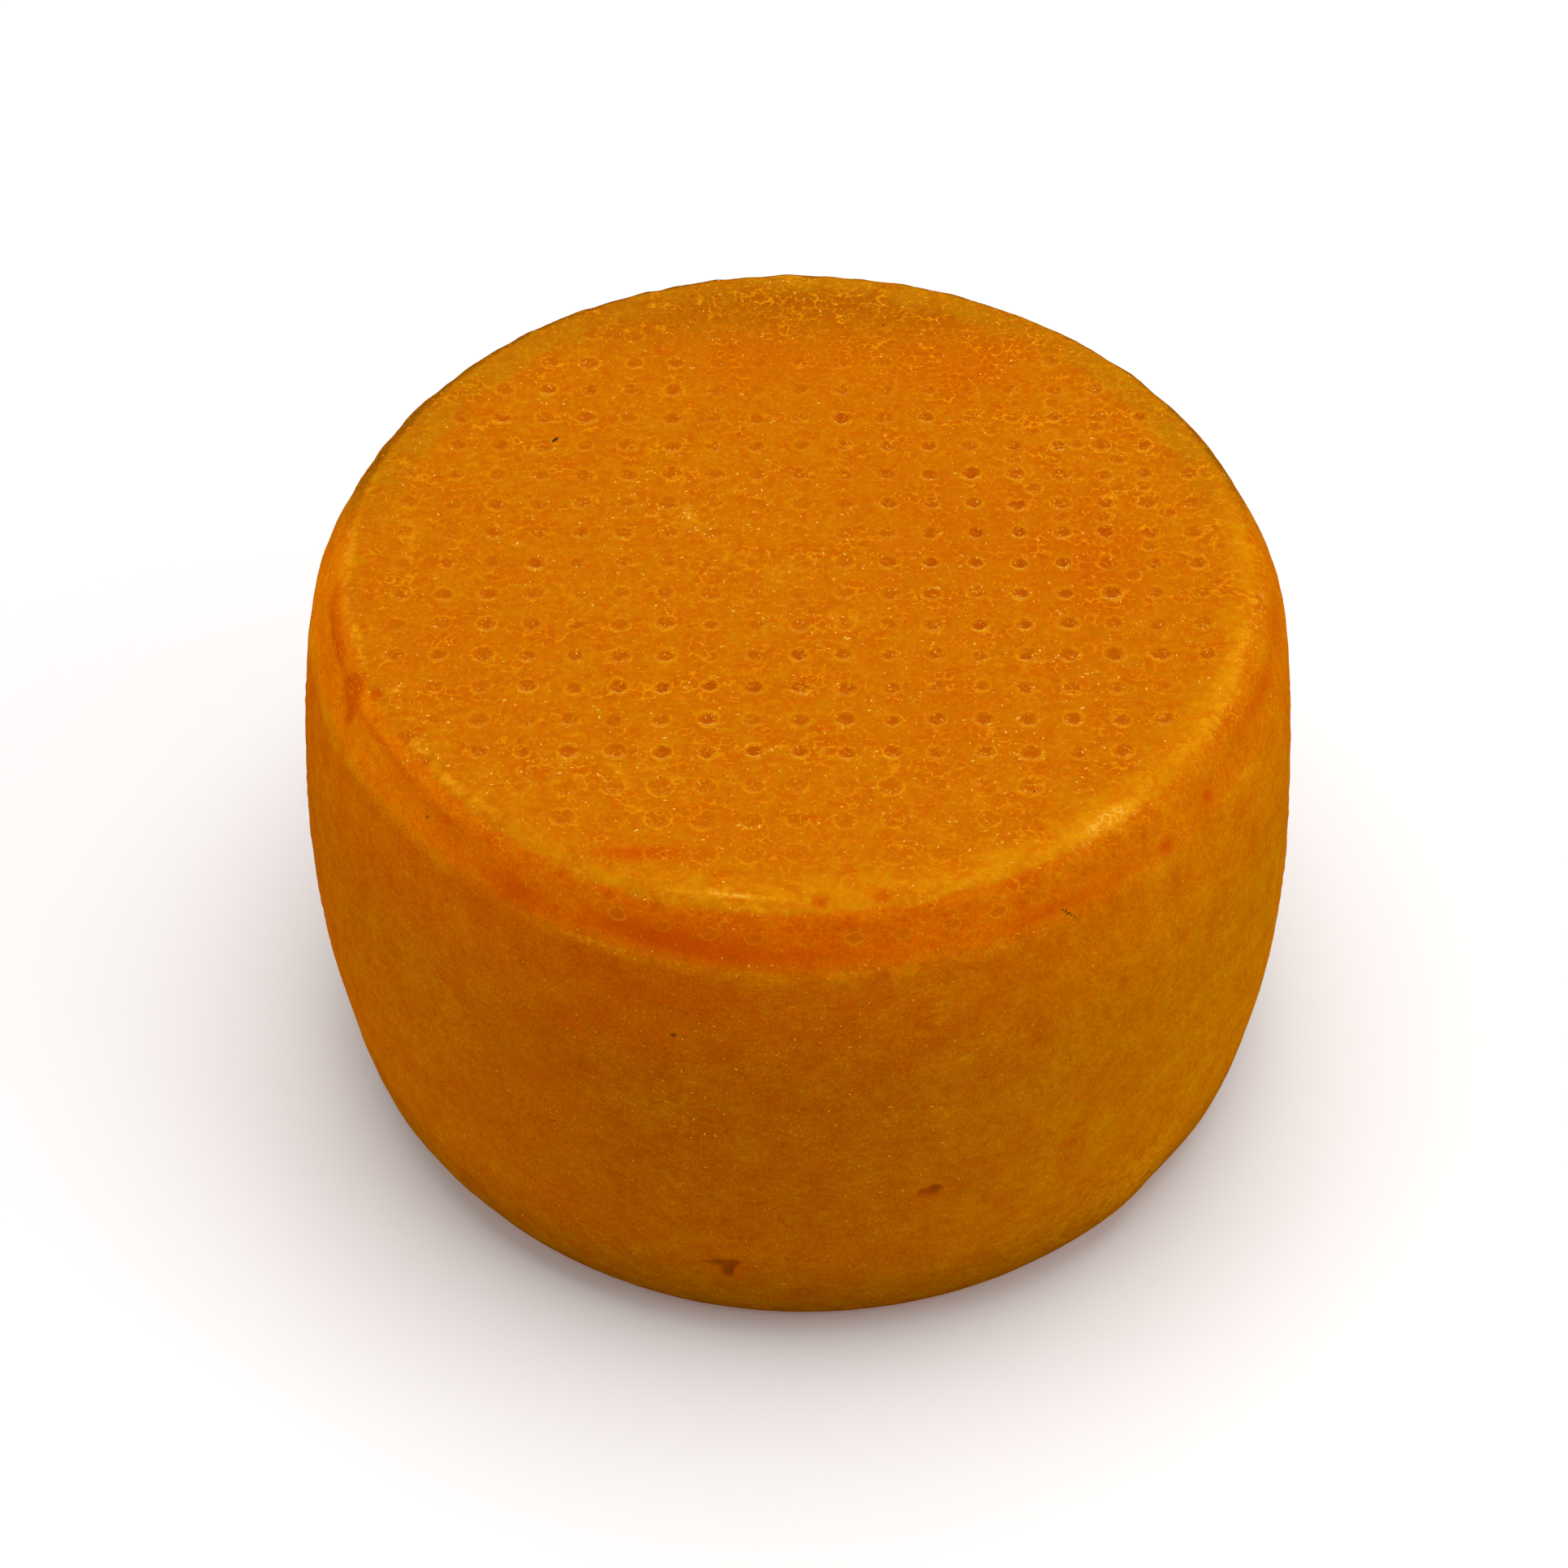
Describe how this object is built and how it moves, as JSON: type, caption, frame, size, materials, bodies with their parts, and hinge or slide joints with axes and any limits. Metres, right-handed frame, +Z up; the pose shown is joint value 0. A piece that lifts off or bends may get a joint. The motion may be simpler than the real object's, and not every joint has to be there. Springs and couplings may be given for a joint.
{
  "type": "mutschli cheese",
  "caption": "Small round wheel of semi-hard cheese with a smooth orange washed rind, bulging side, and flat faces stippled by the holes of its mould.",
  "frame": {"origin": "middle of the lower face, on the surface that the wheel stands on", "axes": "+Z up along the wheel's axis, -Y towards the viewer"},
  "size_m": [0.1309, 0.131, 0.0807],
  "materials": {
    "rind": "waxy washed rind, satin, with a paler rim and a redder band below it"
  },
  "bodies": {
    "root": {"cheese_wheel": "rind"}
  },
  "joints": []
}
